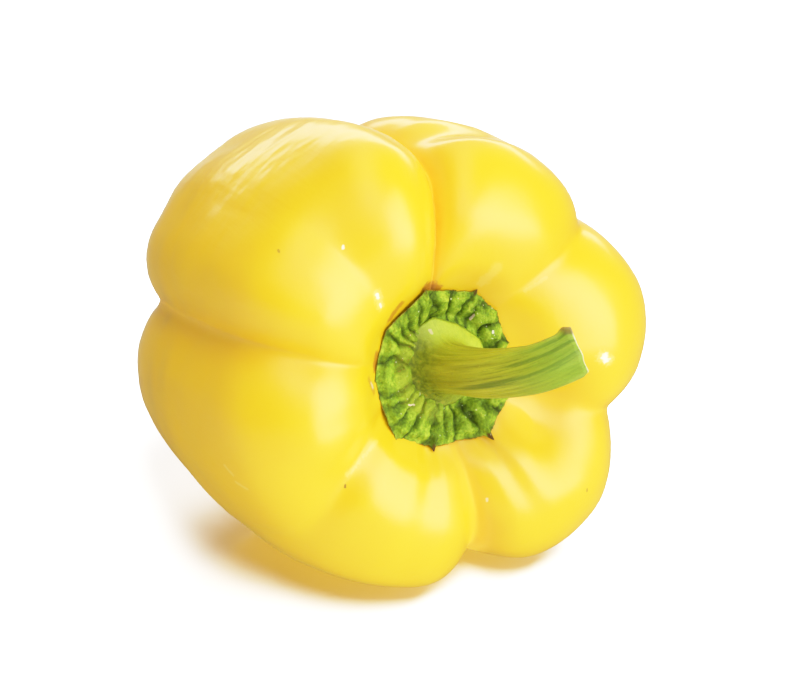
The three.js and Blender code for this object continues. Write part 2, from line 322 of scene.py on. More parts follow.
class Graph:
    """Adds nodes to a node tree."""

    def __init__(self, tree):
        self.tree = tree

    def add(self, kind, settings=None, inputs=None, output=0):
        """A node with its settings and its sockets' values or links, as one of its outputs."""
        node = self.tree.nodes.new(kind)
        for name, setting in (settings or {}).items():
            if name == "stops":
                self.set_stops(node.color_ramp, setting)
            else:
                setattr(node, name, setting)
        for name, value in (inputs or {}).items():
            if isinstance(value, Value):
                self.tree.links.new(value.socket, node.inputs[name])
            else:
                node.inputs[name].default_value = value
        return Value(self, node.outputs[output])

    def set_stops(self, ramp, stops):
        while len(ramp.elements) < len(stops):
            ramp.elements.new(1)
        for element, (place, colour) in zip(ramp.elements, stops):
            element.position = place
            element.color = colour

    def math(self, operation, *values):
        return self.add("ShaderNodeMath", {"operation": operation}, dict(enumerate(values)))

    def vector_math(self, operation, *values, output=0):
        return self.add("ShaderNodeVectorMath", {"operation": operation}, dict(enumerate(values)), output)

    def smooth(self, value, start, end):
        """0 below start and 1 above end, with a smooth step between them."""
        settings = {"interpolation_type": "SMOOTHSTEP"}
        inputs = {"Value": value, "From Min": start, "From Max": end}
        return self.add("ShaderNodeMapRange", settings, inputs)

    def between(self, start, end, share):
        return start + (end - start) * share

    def combine(self, x, y, z):
        return self.add("ShaderNodeCombineXYZ", inputs={"X": x, "Y": y, "Z": z})

    def noise(self, place, scale, detail=2.0, roughness=0.5):
        """Noise around 0, about -0.5 to 0.5."""
        inputs = {"Vector": place, "Scale": scale, "Detail": detail, "Roughness": roughness}
        return self.add("ShaderNodeTexNoise", inputs=inputs) - 0.5

    def scaled(self, vector, factor):
        return self.add("ShaderNodeVectorMath", {"operation": "SCALE"}, {0: vector, "Scale": factor})

    def clamped(self, value):
        """The value, but at least 0 and at most 1."""
        return self.math("MAXIMUM", self.math("MINIMUM", value, 1.0), 0.0)

    def on_ring(self, turn, radius, height):
        """The point at a turn around the axis, in radians, and at a distance from it."""
        return self.combine(radius * self.math("COSINE", turn), radius * self.math("SINE", turn), height)

    def facing(self, turn, side):
        """1 on a side of the axis and -1 on the far side."""
        return self.math("COSINE", turn - side)

    def degrees_apart(self, degrees, angle):
        return abs(self.math("WRAP", degrees - angle, 180.0, -180.0))


class GrowthGraph(Graph):
    """A geometry node tree with named inputs, which grows one piece."""

    def __init__(self, name):
        super().__init__(bpy.data.node_groups.new(name, "GeometryNodeTree"))
        self.tree.interface.new_socket("Geometry", in_out="OUTPUT", socket_type="NodeSocketGeometry")
        self.group_input = self.tree.nodes.new("NodeGroupInput")

    def input(self, name, kind="NodeSocketFloat"):
        self.tree.interface.new_socket(name, in_out="INPUT", socket_type=kind)
        return Value(self, self.group_input.outputs[name])

    def grid(self):
        """A unit grid with its corner at 0, as the mesh and the two coordinates of its points."""
        sides = self.input("Sides", "NodeSocketInt")
        rings = self.input("Rings", "NodeSocketInt")
        mesh = self.add("GeometryNodeMeshGrid", inputs={
            "Size X": 1.0, "Size Y": 1.0, "Vertices X": sides + 1, "Vertices Y": rings + 1,
        })
        place = self.add("ShaderNodeSeparateXYZ", inputs={0: self.add("GeometryNodeInputPosition")})
        return mesh, place + 0.5, place.also("Y") + 0.5

    def moved(self, mesh, position=None, offset=None):
        inputs = {"Geometry": mesh}
        if position:
            inputs["Position"] = position
        if offset:
            inputs["Offset"] = offset
        return self.add("GeometryNodeSetPosition", inputs=inputs)

    def kept(self, mesh, name, value, data_type="FLOAT"):
        """The mesh with a value stored on its points."""
        settings = {"data_type": data_type, "domain": "POINT"}
        inputs = {"Geometry": mesh, "Name": name, "Value": value}
        return self.add("GeometryNodeStoreNamedAttribute", settings, inputs)

    def recalled(self, name):
        return self.add("GeometryNodeInputNamedAttribute", {"data_type": "FLOAT"}, {"Name": name})

    def welded(self, mesh):
        """The mesh with its seam and its poles closed."""
        return self.add("GeometryNodeMergeByDistance", inputs={"Geometry": mesh, "Distance": 1e-4})

    def along_line(self, line, share):
        """The point on a smooth line at a share of its length; the tangent is another output."""
        points = self.add("GeometryNodeObjectInfo", inputs={"Object": line}, output="Geometry")
        spline = self.add("GeometryNodeCurveSplineType", {"spline_type": "CATMULL_ROM"}, {"Curve": points})
        fine = self.add("GeometryNodeSetSplineResolution", inputs={"Geometry": spline, "Resolution": 48})
        settings = {"mode": "FACTOR"}
        return self.add("GeometryNodeSampleCurve", settings, {"Curves": fine, "Factor": share}, "Position")

    def laid_down(self, mesh):
        """The mesh in metres, where the part's frame has it."""
        return self.add("GeometryNodeTransform", inputs={
            "Geometry": mesh, "Translation": axis_start, "Rotation": LYING.to_euler(), "Scale": (MM, MM, MM),
        })

    def finish(self, mesh, material):
        smooth = self.add("GeometryNodeSetShadeSmooth", inputs={"Geometry": mesh})
        realized = self.add("GeometryNodeRealizeInstances", inputs={"Geometry": smooth})
        finished = self.add("GeometryNodeSetMaterial", inputs={"Geometry": realized, "Material": material})
        output = self.tree.nodes.new("NodeGroupOutput")
        self.tree.links.new(finished.socket, output.inputs[0])


def new_object(name, data):
    item = bpy.data.objects.new(name, data)
    bpy.context.scene.collection.objects.link(item)
    return item


def line_object(name, points):
    """A line that a growth tree follows."""
    curve = bpy.data.curves.new(name, "CURVE")
    curve.dimensions = "3D"
    spline = curve.splines.new("POLY")
    spline.points.add(len(points) - 1)
    for target, point in zip(spline.points, points):
        target.co = (*Vector(point).to_3d(), 1)
    return new_object(name, curve)


def grown(name, graph, sizes):
    """The plain mesh object that a growth tree makes with these values of its inputs."""
    piece = new_object(name, bpy.data.meshes.new(name))
    modifier = piece.modifiers.new("growth", "NODES")
    modifier.node_group = graph.tree
    for item in graph.tree.interface.items_tree:
        if item.in_out == "INPUT":
            modifier[item.identifier] = sizes[item.name]
    depsgraph = bpy.context.evaluated_depsgraph_get()
    mesh = bpy.data.meshes.new_from_object(
        piece.evaluated_get(depsgraph), preserve_all_data_layers=True, depsgraph=depsgraph,
    )
    piece.modifiers.remove(modifier)
    piece.data = mesh
    for line in [value for value in sizes.values() if isinstance(value, bpy.types.Object)]:
        bpy.data.objects.remove(line)
    return piece


def with_neighbours(rows):
    """Each row with the one before it and the one after it, and its span in degrees."""
    for index, row in enumerate(rows):
        after = rows[(index + 1) % len(rows)]
        yield index, rows[index - 1], row, after, (after["angle"] - row["angle"]) % 360


def counted(graph, count, rows):
    """The index of the row that a running count has come to, and how far it is across that row."""
    below_end = 1e-4
    whole = graph.math("FLOOR", graph.math("MINIMUM", count, len(rows) - below_end))
    return whole, count - whole


def eased(graph, before, here, after, across, key):
    """A lobe's own value at its middle, half way to its neighbours' at its grooves."""
    first = (before[key] + here[key]) / 2
    last = (here[key] + after[key]) / 2
    rising = graph.smooth(across, 0.0, 0.5)
    falling = graph.smooth(across, 0.5, 1.0)
    return first + (here[key] - first) * rising + (last - here[key]) * falling


class Lobes:
    """The lobe at each point of a grid whose first coordinate counts lobes."""

    def __init__(self, graph, lobe_count, share):
        self.graph = graph
        whole, even = counted(graph, lobe_count, LOBES)
        across = even - CROWDING * graph.math("SINE", even * math.tau)
        swerved = graph.smooth(share, *SWERVE_SPAN)
        self.angle = 0.0
        self.sunk = 0.0
        self.reach = 0.0
        self.lift = 0.0
        for index, before, here, after, span in with_neighbours(LOBES):
            inside = graph.math("COMPARE", whole, index, 0.5)
            swerve = graph.between(here["swerve"], after["swerve"], across)
            self.angle = self.angle + inside * (here["angle"] + across * span + swerve * swerved)
            self.sunk = self.sunk + inside * self.sunk_in(here, after, across, share)
            self.reach = self.reach + inside * eased(graph, before, here, after, across, "reach")
            self.lift = self.lift + inside * eased(graph, before, here, after, across, "lift")

    def sunk_in(self, here, after, across, share):
        """How far the surface lies from the crest line towards the groove line."""
        graph = self.graph
        ease = graph.smooth(across, 0.0, 1.0)
        side = graph.between(here["side"], after["side"], ease)
        shoulder = graph.between(here["shoulder"], after["shoulder"], ease)
        soft = graph.between(here["soft"], after["soft"], ease)
        roundness = graph.between(here["round"], after["round"], ease)
        depth = graph.between(side, shoulder, graph.smooth(share, *DEPTH_SPAN)) / FULL_DEPTH

        def rounded(height):
            return (height * height + soft * soft) ** (roundness / 2)

        low = soft ** roundness
        rise = (rounded(4 * across * (1 - across)) - low) / (rounded(1) - low)
        return depth * (1 - rise)


def fruit_graph(material):
    graph = GrowthGraph("fruit growth")
    crest_line = graph.input("Crest line", "NodeSocketObject")
    groove_line = graph.input("Groove line", "NodeSocketObject")
    swelling = graph.input("Swelling height")
    ripple = graph.input("Ripple height")

    mesh, across_all, share = graph.grid()
    lobes = Lobes(graph, across_all * len(LOBES), share)
    crest = graph.along_line(crest_line, share)
    groove = graph.along_line(groove_line, share)
    skin = graph.add("ShaderNodeMix", {"data_type": "VECTOR"}, {0: lobes.sunk, 4: crest, 5: groove}, output=1)
    skin = graph.add("ShaderNodeSeparateXYZ", inputs={0: skin})
    outside_hollow = 1 - graph.smooth(share, *HOLLOW_SPAN)
    radius = skin * (1 + (lobes.reach / PLAIN_REACH - 1) * outside_hollow)
    height = skin.also("Y") + lobes.lift * graph.smooth(share, *LIFT_SPAN) * outside_hollow
    place = graph.on_ring(lobes.angle * (math.pi / 180), radius, height)

    mesh = graph.kept(mesh, "share", share)
    mesh = graph.kept(mesh, "groove", lobes.sunk)
    mesh = graph.welded(graph.moved(mesh, position=place))
    mesh = graph.moved(mesh, offset=relief(graph, swelling, ripple))
    mesh = pressed_flat(graph, graph.laid_down(mesh))
    graph.finish(mesh, material)
    return graph


def relief(graph, swelling, ripple):
    """The offset of the skin by its swellings, ripples, crinkles, bulges and shoulder valleys."""
    share = graph.recalled("share")
    position = graph.add("GeometryNodeInputPosition")
    place = graph.add("ShaderNodeSeparateXYZ", inputs={0: position})
    turn = graph.math("ARCTAN2", place.also("Y"), place)
    degrees = turn * (180 / math.pi)

    valleys = 0.0
    for valley in SHOULDER_VALLEYS:
        away = graph.degrees_apart(degrees, valley["angle"])
        valleys = valleys + valley["depth"] * (1 - graph.smooth(away, 0.0, valley["width"]))
    on_shoulder = graph.smooth(share, *VALLEY_START) * (1 - graph.smooth(share, *VALLEY_END))

    lengthwise = graph.on_ring(turn, RIPPLE_RADIUS, place.also("Z") * RIPPLE_STRETCH)
    ripples = ripple * graph.noise(lengthwise, RIPPLE_SCALE) * (1 - graph.smooth(share, *RIPPLE_END))
    crosswise = graph.on_ring(turn, CRINKLE_RADIUS, place.also("Z"))
    crinkled = nearness(graph, degrees, share, CRINKLES)
    crinkles = CRINKLES["height"] * graph.noise(crosswise, CRINKLE_SCALE) * crinkled
    outside = 1 - graph.smooth(share, *SWELLING_END)
    swells = swelling * graph.noise(position, SWELLING_SCALE, detail=1.0) * outside
    height = swells + ripples + crinkles + bulges(graph, degrees, share) - valleys * on_shoulder
    return graph.scaled(graph.add("GeometryNodeInputNormal"), height)


def bulges(graph, degrees, share):
    """The height of the bulges and dents at an angle and a share of the length."""
    height = 0.0
    for bulge in BULGES:
        height = height + bulge["height"] * nearness(graph, degrees, share, bulge)
    return height


def nearness(graph, degrees, share, spot):
    """1 in the middle of a spot of the fruit and 0 at its edge."""
    away = graph.degrees_apart(degrees, spot["angle"])
    further = abs(share - spot["share"])
    return (1 - graph.smooth(away, 0.0, spot["wide"])) * (1 - graph.smooth(further, 0.0, spot["long"]))


def pressed_flat(graph, mesh):
    """The lobes that carry the fruit end at the surface that it lies on."""
    place = graph.add("ShaderNodeSeparateXYZ", inputs={0: graph.add("GeometryNodeInputPosition")})
    level = graph.math("MAXIMUM", place.also("Z"), 0.0)
    return graph.moved(mesh, position=graph.combine(place, place.also("Y"), level))


def calyx_graph(material):
    graph = GrowthGraph("calyx growth")
    wrinkle_height = graph.input("Wrinkle height")

    mesh, around, share = graph.grid()
    degrees, rim, dry = sepal_rim(graph, around)
    turn = degrees * (math.pi / 180)
    cosine = graph.math("COSINE", turn)
    sine = graph.math("SINE", turn)
    ring = graph.on_ring(turn, RAGGED_RADIUS, 0.0)
    ragged = RAGGED_COARSE * graph.noise(ring, scale=0.35, detail=3.0)
    ragged = ragged + RAGGED_FINE * graph.noise(ring, scale=1.4)

    # A meridian runs out along the underside to the rim, and then back over the top
    underside = share < UNDERSIDE_SHARE
    out = graph.math("MINIMUM", share / UNDERSIDE_SHARE, (1 - share) / (1 - UNDERSIDE_SHARE))
    radius = (rim + ragged) * out
    x = radius * cosine + CROWN_OFFSET[0]
    y = radius * sine + CROWN_OFFSET[1]
    from_axis = graph.math("SQRT", x * x + y * y)
    floor = hollow_floor(graph, from_axis, graph.math("ARCTAN2", y, x) * (180 / math.pi)) + SEAT_GAP
    on_joined_side = graph.facing(turn, JOINED_SIDE)
    floor = floor - JOINED_RIM_DROP * graph.smooth(on_joined_side, 0.2, 0.9) * graph.smooth(out, 0.7, 1.0)

    fold = wrinkles(graph, turn, radius, graph.combine(x, y, 0.0))
    past_foot = graph.smooth(radius, STEM_FOOT_RADIUS - 0.4, STEM_FOOT_RADIUS + 2.2)
    inside_edge = 1 - COLLAR_EDGE_LOSS * graph.smooth(out, 0.85, 1.0)
    body = SEAT_THICKNESS + (COLLAR_THICKNESS + wrinkle_height * fold) * past_foot * inside_edge
    top = floor + body * (0.25 * graph.smooth(1 - out, 0.0, 0.02) + 0.75 * graph.smooth(1 - out, 0.0, 0.13))
    on_seat = 1 - graph.smooth(radius, STEM_FOOT_RADIUS - 0.6, STEM_FOOT_RADIUS + 0.8)
    top = graph.between(top, CALYX_SEAT, on_seat)

    # On one side the collar climbs onto the foot of the stem, and on the other it leaves a crease below it
    by_foot = 1 - graph.smooth(abs(radius - STEM_FOOT_RADIUS), 0.5, 2.8)
    joined = graph.smooth(on_joined_side, 0.0, 0.75) * by_foot
    top = graph.between(top, STEM_LINE[0][2] + JOINED_RISE + JOINED_RISE * fold, joined)

    mesh = graph.kept(mesh, "ridge", fold)
    mesh = graph.kept(mesh, "out", out)
    mesh = graph.kept(mesh, "dry", dry * graph.smooth(out, 0.86, 0.97))
    mesh = graph.kept(mesh, "joined", joined)
    height = graph.between(top, floor, underside)
    mesh = graph.welded(graph.moved(mesh, position=graph.combine(x, y, height)))
    graph.finish(graph.laid_down(mesh), material)
    return graph


def sepal_rim(graph, around):
    """The angle in degrees and the reach of the calyx's rim, and how near it is to a dry tip (0 to 1)."""
    whole, across = counted(graph, around * len(SEPALS), SEPALS)
    degrees = 0.0
    rim = 0.0
    dry = 0.0
    for index, _, here, after, span in with_neighbours(SEPALS):
        inside = graph.math("COMPARE", whole, index, 0.5)
        turned = across * math.radians(span)
        chord = here["reach"] * after["reach"] * math.sin(math.radians(span)) / (
            here["reach"] * graph.math("SINE", turned)
            + after["reach"] * graph.math("SINE", math.radians(span) - turned)
        )
        from_here = 1 - graph.smooth(across * span, 0.0, SPIKE_WIDTH)
        from_after = 1 - graph.smooth((1 - across) * span, 0.0, SPIKE_WIDTH)
        spike = from_here * here["spike"] + from_after * after["spike"]
        degrees = degrees + inside * (here["angle"] + across * span)
        rim = rim + inside * (chord + spike)
        dry = dry + inside * spike
    return degrees, rim, dry


def hollow_floor(graph, radius, degrees):
    """The height of the lobes' crests inside the stem hollow, which carry the calyx."""
    middle = CREST_LINE[-1][1]
    bowl = middle + HOLLOW_SQUARE * radius * radius + HOLLOW_CUBE * radius * radius * radius
    lift = 0.0
    for _, before, here, after, span in with_neighbours(LOBES):
        swerved_span = span + after["swerve"] - here["swerve"]
        past_start = graph.math("FLOORED_MODULO", degrees - here["angle"] - here["swerve"], 360.0)
        across = past_start / swerved_span
        inside = across < 1.0
        lift = lift + inside * eased(graph, before, here, after, across, "lift")
    return bowl + lift * graph.smooth(radius, *HOLLOW_LIFT_SPAN)


def wrinkles(graph, turn, radius, place):
    """Folds of the collar, about -1 to 1: broad ridges, narrow and uneven valleys, and lumps among them."""
    sway = 1.1 * graph.math("SINE", turn * 3.0) + 0.8 * graph.math("SINE", turn * 5.0 + 1.0)
    wander = 7.0 * graph.noise(place, scale=0.16) + 2.0 * graph.noise(place, scale=0.6)
    twist = 0.12 * (radius - STEM_FOOT_RADIUS)
    valley = abs(graph.math("SINE", turn * (WRINKLES / 2) + sway + wander + twist))
    ridge = valley ** 0.7 * 2 - 1.2
    lumps = graph.noise(place, scale=0.45)
    strength = graph.smooth(graph.noise(place, scale=0.12, detail=1.0), -0.25, 0.2)
    return ridge * (0.4 + 0.6 * strength) + lumps * 1.5


def stem_graph(material):
    graph = GrowthGraph("stem growth")
    line = graph.input("Centre line", "NodeSocketObject")
    rib_height = graph.input("Rib height")

    mesh, around, share = graph.grid()
    foot_share = 0.04
    end_share = 0.92
    along = graph.clamped((share - foot_share) / (end_share - foot_share))
    turn = around * math.tau
    centre = graph.along_line(line, along)
    tangent = centre.also("Tangent")
    rotation = graph.add("FunctionNodeAlignRotationToVector", {"axis": "Z"}, {"Vector": tangent})

    flare = graph.math("EXPONENT", along * (-STEM_LENGTH / FOOT_FILLET))
    foot_noise = graph.noise(graph.on_ring(turn, STEM_FOOT_RADIUS, 0.0), scale=0.25)
    foot = STEM_FOOT_RADIUS + FOOT_LEAN_REACH * graph.facing(turn, FOOT_LEAN) + foot_noise
    foot = foot - FOOT_FLAT_DEPTH * graph.smooth(graph.facing(turn, FOOT_FLAT), 0.75, 1.0)
    twisted = turn + STEM_TWIST * along
    ribs = graph.math("COSINE", twisted * STEM_RIBS + 0.6 * graph.math("SINE", twisted * 2.0))
    streak = graph.on_ring(twisted, STREAK_RADIUS, along * STREAK_STRETCH)
    lines = graph.noise(streak, scale=0.9)
    bands = graph.noise(streak, scale=0.3, detail=1.0)
    joined = graph.smooth(graph.facing(turn, JOINED_SIDE), -0.1, 0.7)
    grain_place = graph.on_ring(turn, FOOT_GRAIN_RADIUS, along * STEM_LENGTH)
    grains = graph.noise(grain_place, scale=0.9, detail=3.0)
    on_foot = 1 - graph.smooth(along, 0.03, 0.2)
    relief_height = (rib_height * ribs + STEM_LINE_HEIGHT * lines) * graph.smooth(along, 0.05, 0.3)
    relief_height = relief_height + (0.25 + 0.65 * joined) * grains * on_foot
    ear = graph.smooth(graph.facing(turn, EAR_ANGLE), 0.65, 0.95) * graph.smooth(along, 0.9, 0.97)
    lip = graph.smooth(along, 0.955, 1.0) * (LIP_DEPTH * bands - LIP_DEPTH)
    radius = graph.between(STEM_RADIUS, foot, flare) + relief_height + EAR_HEIGHT * ear + lip
    closed_foot = graph.math("MINIMUM", share / foot_share, 1.0)
    cut = graph.math("MAXIMUM", (share - end_share) / (1 - end_share), 0.0)
    ring = radius * closed_foot * (1 - cut)
    slant = CUT_SLANT * ring * graph.facing(turn, CUT_ANGLE) * graph.smooth(along, 0.85, 1.0)
    uneven = CUT_UNEVENNESS * bands * graph.smooth(along, 0.97, 1.0) * (1 - graph.smooth(cut, 0.0, 0.4))
    local = graph.on_ring(turn, ring, slant + uneven - CUT_HOLLOW * graph.smooth(cut, 0.05, 0.4))
    turned = graph.add("FunctionNodeRotateVector", inputs={"Vector": local, "Rotation": rotation})

    mesh = graph.kept(mesh, "along", along)
    mesh = graph.kept(mesh, "cut", cut)
    mesh = graph.kept(mesh, "streak", streak, "FLOAT_VECTOR")
    mesh = graph.kept(mesh, "ear", ear)
    mesh = graph.kept(mesh, "joined", joined * on_foot)
    mesh = graph.welded(graph.moved(mesh, position=graph.vector_math("ADD", centre, turned)))
    graph.finish(graph.laid_down(mesh), material)
    return graph


class Finish(Graph):
    """A material, as its node graph, its shader and the colour painted so far."""

    def __init__(self, name):
        self.material = bpy.data.materials.new(name)
        self.material.use_nodes = True
        super().__init__(self.material.node_tree)
        self.shader = self.tree.nodes["Principled BSDF"]
        self.colour = WHITE

    def set(self, **inputs):
        """Sets the shader's sockets, named with spaces as underscores."""
        for name, value in inputs.items():
            socket = self.shader.inputs[name.replace("_", " ")]
            if isinstance(value, Value):
                self.tree.links.new(value.socket, socket)
            else:
                socket.default_value = value

    def attribute(self, name, output="Fac"):
        return self.add("ShaderNodeAttribute", {"attribute_name": name}, output=output)

    def place(self):
        """The point in millimetres."""
        coordinates = self.add("ShaderNodeTexCoord", output="Object")
        return self.scaled(coordinates, 1 / MM)

    def bump(self, height, depth):
        """The normal of a surface whose height, 0 to 1, is this deep in millimetres."""
        return self.add("ShaderNodeBump", inputs={"Height": height, "Distance": depth * MM}, output="Normal")

    def mix_colour(self, share, first, second):
        """A mix of two colours, each an output of a node or screen values of 0 to 255."""
        inputs = {0: share}
        for socket, colour in ((6, first), (7, second)):
            inputs[socket] = colour if isinstance(colour, Value) else from_srgb(*colour)
        return self.add("ShaderNodeMix", {"data_type": "RGBA"}, inputs, output=2)

    def paint(self, share, tint, strength=1.0):
        self.colour = self.mix_colour(share * strength, self.colour, tint)

    def paint_mark(self, start, end, width, strength, tint):
        """A mark with broken edges along the line between two points, in millimetres."""
        place = self.place()
        along = end - start
        from_start = self.vector_math("SUBTRACT", place, start)
        share = self.vector_math("DOT_PRODUCT", from_start, along, output="Value") / along.length_squared
        nearest = self.scaled(along, self.clamped(share))
        away = self.vector_math("DISTANCE", from_start, nearest, output="Value")
        broken = away + 1.2 * width * self.noise(place, scale=1.8)
        self.paint(1 - self.smooth(broken, 0.3 * width, width), tint, strength)


def from_srgb(red, green, blue):
    """A colour for a shader from screen values of 0 to 255."""
    def linear(value):
        share = value / 255
        return share / 12.92 if share <= 0.04045 else ((share + 0.055) / 1.055) ** 2.4
    return (linear(red), linear(green), linear(blue), 1)


def skin_finish():
    finish = Finish("pepper skin")
    place = finish.place()
    groove = finish.attribute("groove")
    cloud = finish.noise(place, scale=0.05, detail=3.0)
    # Painted shade: the skin turns a little more orange towards the bottom of the grooves
    sunk = finish.smooth(groove, 0.15, 0.75)
    finish.colour = finish.mix_colour(sunk, (236, 185, 18), (236, 179, 15))
    finish.paint(finish.smooth(cloud, -0.1, 0.25), (240, 191, 24), strength=0.3)
    share = finish.attribute("share")
    finish.paint(1 - finish.smooth(share, 0.004, 0.014), (150, 110, 40))
    pores = finish.noise(place, scale=1.6)
    lengthwise = finish.vector_math("MULTIPLY", place, (0.15, 1, 1))
    streaks = finish.noise(lengthwise, scale=0.9)
    deep = finish.smooth(groove, 0.42, 0.58)
    finish.set(
        Roughness=0.34 + 0.08 * pores + 0.35 * deep,
        Subsurface_Weight=0.15,
        Subsurface_Radius=(1.0, 0.6, 0.08),
        Subsurface_Scale=0.003,
        Specular_IOR_Level=0.75,
        Coat_Weight=0.5 * (1 - deep),
        Coat_Roughness=0.15,
        Normal=finish.bump(0.2 * pores + streaks, 0.03),
    )
    return finish


def calyx_finish():
    finish = Finish("calyx green")
    place = finish.place()
    ridge = finish.attribute("ridge")
    out = finish.attribute("out")
    grain = finish.noise(place, scale=2.2, detail=3.0)
    mottle = finish.noise(place, scale=0.5, detail=3.0)
    # Painted shade: the folds' valleys are darker and their ridges lighter, on top of random grain and mottle
    light = finish.smooth(ridge + grain * 1.6 + mottle * 1.6, -1.4, 1.5)
    finish.colour = finish.add("ShaderNodeValToRGB", {"stops": (
        (0.0, from_srgb(54, 70, 6)),
        (0.35, from_srgb(86, 112, 14)),
        (0.7, from_srgb(126, 156, 28)),
        (1.0, from_srgb(172, 194, 56)),
    )}, {"Fac": light})
    rusty = finish.smooth(finish.noise(place, scale=1.5), 0.1, 0.25) * finish.attribute("joined")
    finish.paint(finish.attribute("joined"), (150, 158, 36), strength=0.5)
    finish.paint(rusty, (150, 110, 36), strength=0.7)
    edge = finish.smooth(out + 0.03 * mottle, 0.982, 1.0)
    finish.paint(edge, (156, 104, 30), strength=0.5)
    finish.paint(finish.smooth(finish.attribute("dry"), 0.12, 0.5), (88, 62, 20))
    specks = finish.smooth(finish.noise(place, scale=1.9, detail=0.0), 0.3, 0.34)
    finish.paint(specks, (222, 226, 170), strength=0.6)
    finish.set(
        Roughness=0.6,
        Specular_IOR_Level=0.2,
        Subsurface_Weight=0.1,
        Subsurface_Scale=0.001,
        Normal=finish.bump(grain, 0.3),
    )
    return finish


def stem_finish():
    finish = Finish("stem green")
    along = finish.attribute("along")
    cut = finish.attribute("cut")
    joined = finish.attribute("joined")
    streak = finish.attribute("streak", "Vector")
    around = finish.add("ShaderNodeSeparateXYZ", inputs={0: streak})
    degrees = finish.math("ARCTAN2", around.also("Y"), around) * (180 / math.pi)
    lines = finish.noise(streak, scale=1.8, detail=4.0)
    bands = finish.noise(streak, scale=0.4, detail=1.0)
    fresh = finish.smooth(along + 0.3 * bands, 0.45, 0.95)
    olive = finish.smooth(lines, -0.2, 0.2)
    finish.colour = finish.mix_colour(olive, (138, 140, 19), (167, 168, 34))
    finish.paint(fresh, (127, 154, 34))
    dark = 0.0
    for line in STEM_STREAKS:
        away = finish.degrees_apart(degrees, line["angle"]) + STREAK_WANDER * lines
        near = 1 - finish.smooth(away, line["width"] * STREAK_CORE, line["width"])
        started = finish.smooth(along, line["start"], line["start"] + STREAK_FADE)
        dark = finish.math("MAXIMUM", dark, near * started)
    finish.paint(dark, (70, 102, 18), strength=0.5)
    fine = finish.noise(streak, scale=5.0, detail=3.0)
    fibres = finish.smooth(fine, 0.0, 0.25) * finish.smooth(along, 0.15, 0.5)
    finish.paint(fibres, (84, 108, 20), strength=0.5)
    pale_tip = finish.smooth(along, 0.78, 0.95) * finish.smooth(bands, -0.1, 0.15)
    finish.paint(pale_tip, (168, 184, 74), strength=0.4)
    specks = finish.noise(finish.place(), scale=3.0, detail=3.0, roughness=0.7)
    finish.paint(finish.smooth(specks, -0.05, -0.3), (84, 92, 14), strength=0.5)
    finish.paint(finish.smooth(specks, 0.1, 0.3), (206, 204, 90), strength=0.3)

    # The foot's plate has painted light on its upper, free side, and is rough and rusty where the collar
    # joins it
    plate = 1 - finish.smooth(along, 0.02, 0.14)
    # Painted light: the plate is lighter on its upper side and darker on its lower side
    plate_lit_side = finish.smooth(finish.degrees_apart(degrees, PLATE_LIT_SIDE), 130.0, 50.0)
    plate_painted_light = finish.mix_colour(plate_lit_side, (134, 148, 32), (174, 190, 46))
    finish.paint(plate * (1 - joined), plate_painted_light)
    grain = finish.noise(finish.place(), scale=1.2, detail=3.0)
    finish.paint(plate * finish.smooth(grain, -0.1, 0.3), (146, 166, 34), strength=0.5)
    finish.paint(plate * finish.smooth(specks, 0.0, 0.25), (204, 216, 84), strength=0.35)
    # Real granular, rusty texture, darkened with painted shade around the root of the stem on the joined side
    grainy_and_root_shade = finish.mix_colour(finish.smooth(grain, -0.2, 0.2), (84, 98, 18), (140, 150, 34))
    grainy_and_root_shade = finish.mix_colour(finish.smooth(grain, 0.1, 0.22) * 0.6, grainy_and_root_shade, (176, 128, 40))
    finish.paint(joined, grainy_and_root_shade, strength=0.9)

    finish.paint(finish.smooth(along, 0.985, 1.0), (232, 234, 190), strength=0.8)
    finish.paint(finish.smooth(cut, 0.1, 0.5), (166, 178, 100))
    finish.paint(finish.smooth(finish.attribute("ear"), 0.3, 0.9), (112, 88, 34), strength=0.8)
    finish.set(
        Roughness=0.45,
        Specular_IOR_Level=0.4,
        Subsurface_Weight=0.1,
        Subsurface_Scale=0.001,
        Normal=finish.bump(lines + fine + 0.5 * specks, 0.15),
    )
    return finish


def make_pieces():
    skin = skin_finish()
    fruit = grown("pepper_fruit", fruit_graph(skin.material), {
        "Crest line": line_object("crest line", CREST_LINE),
        "Groove line": line_object("groove line", GROOVE_LINE),
        "Sides": len(LOBES) * 56,
        "Rings": 248,
        "Swelling height": 1.2,
        "Ripple height": 0.35,
    })
    collar = calyx_finish()
    calyx = grown("pepper_calyx", calyx_graph(collar.material), {
        "Sides": len(SEPALS) * 44,
        "Rings": 90,
        "Wrinkle height": 0.65,
    })
    bark = stem_finish()
    stem = grown("pepper_stem", stem_graph(bark.material), {
        "Centre line": line_object("stem line", STEM_LINE),
        "Sides": 160,
        "Rings": 200,
        "Rib height": 0.2,
    })
    for piece, node, slot in ((fruit, "fruit", "skin"), (calyx, "calyx", "calyx"), (stem, "stem", "stem")):
        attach(piece, "root")
        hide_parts(node)
    finishes = {fruit: skin, calyx: collar, stem: bark}
    make_marks(finishes)
    for finish in finishes.values():
        finish.set(Base_Color=finish.colour)
    return finishes.keys()


def make_marks(finishes):
    """Paints each mark on the piece that the photograph shows it on."""
    depsgraph = bpy.context.evaluated_depsgraph_get()
    surfaces = [(piece, BVHTree.FromObject(piece, depsgraph)) for piece in finishes]
    for mark in MARKS:
        piece, start = first_seen(surfaces, mark["start"])
        end = first_seen([pair for pair in surfaces if pair[0] == piece], mark["end"])[1]
        finishes[piece].paint_mark(start / MM, end / MM, mark["width"], mark["strength"], mark["tint"])


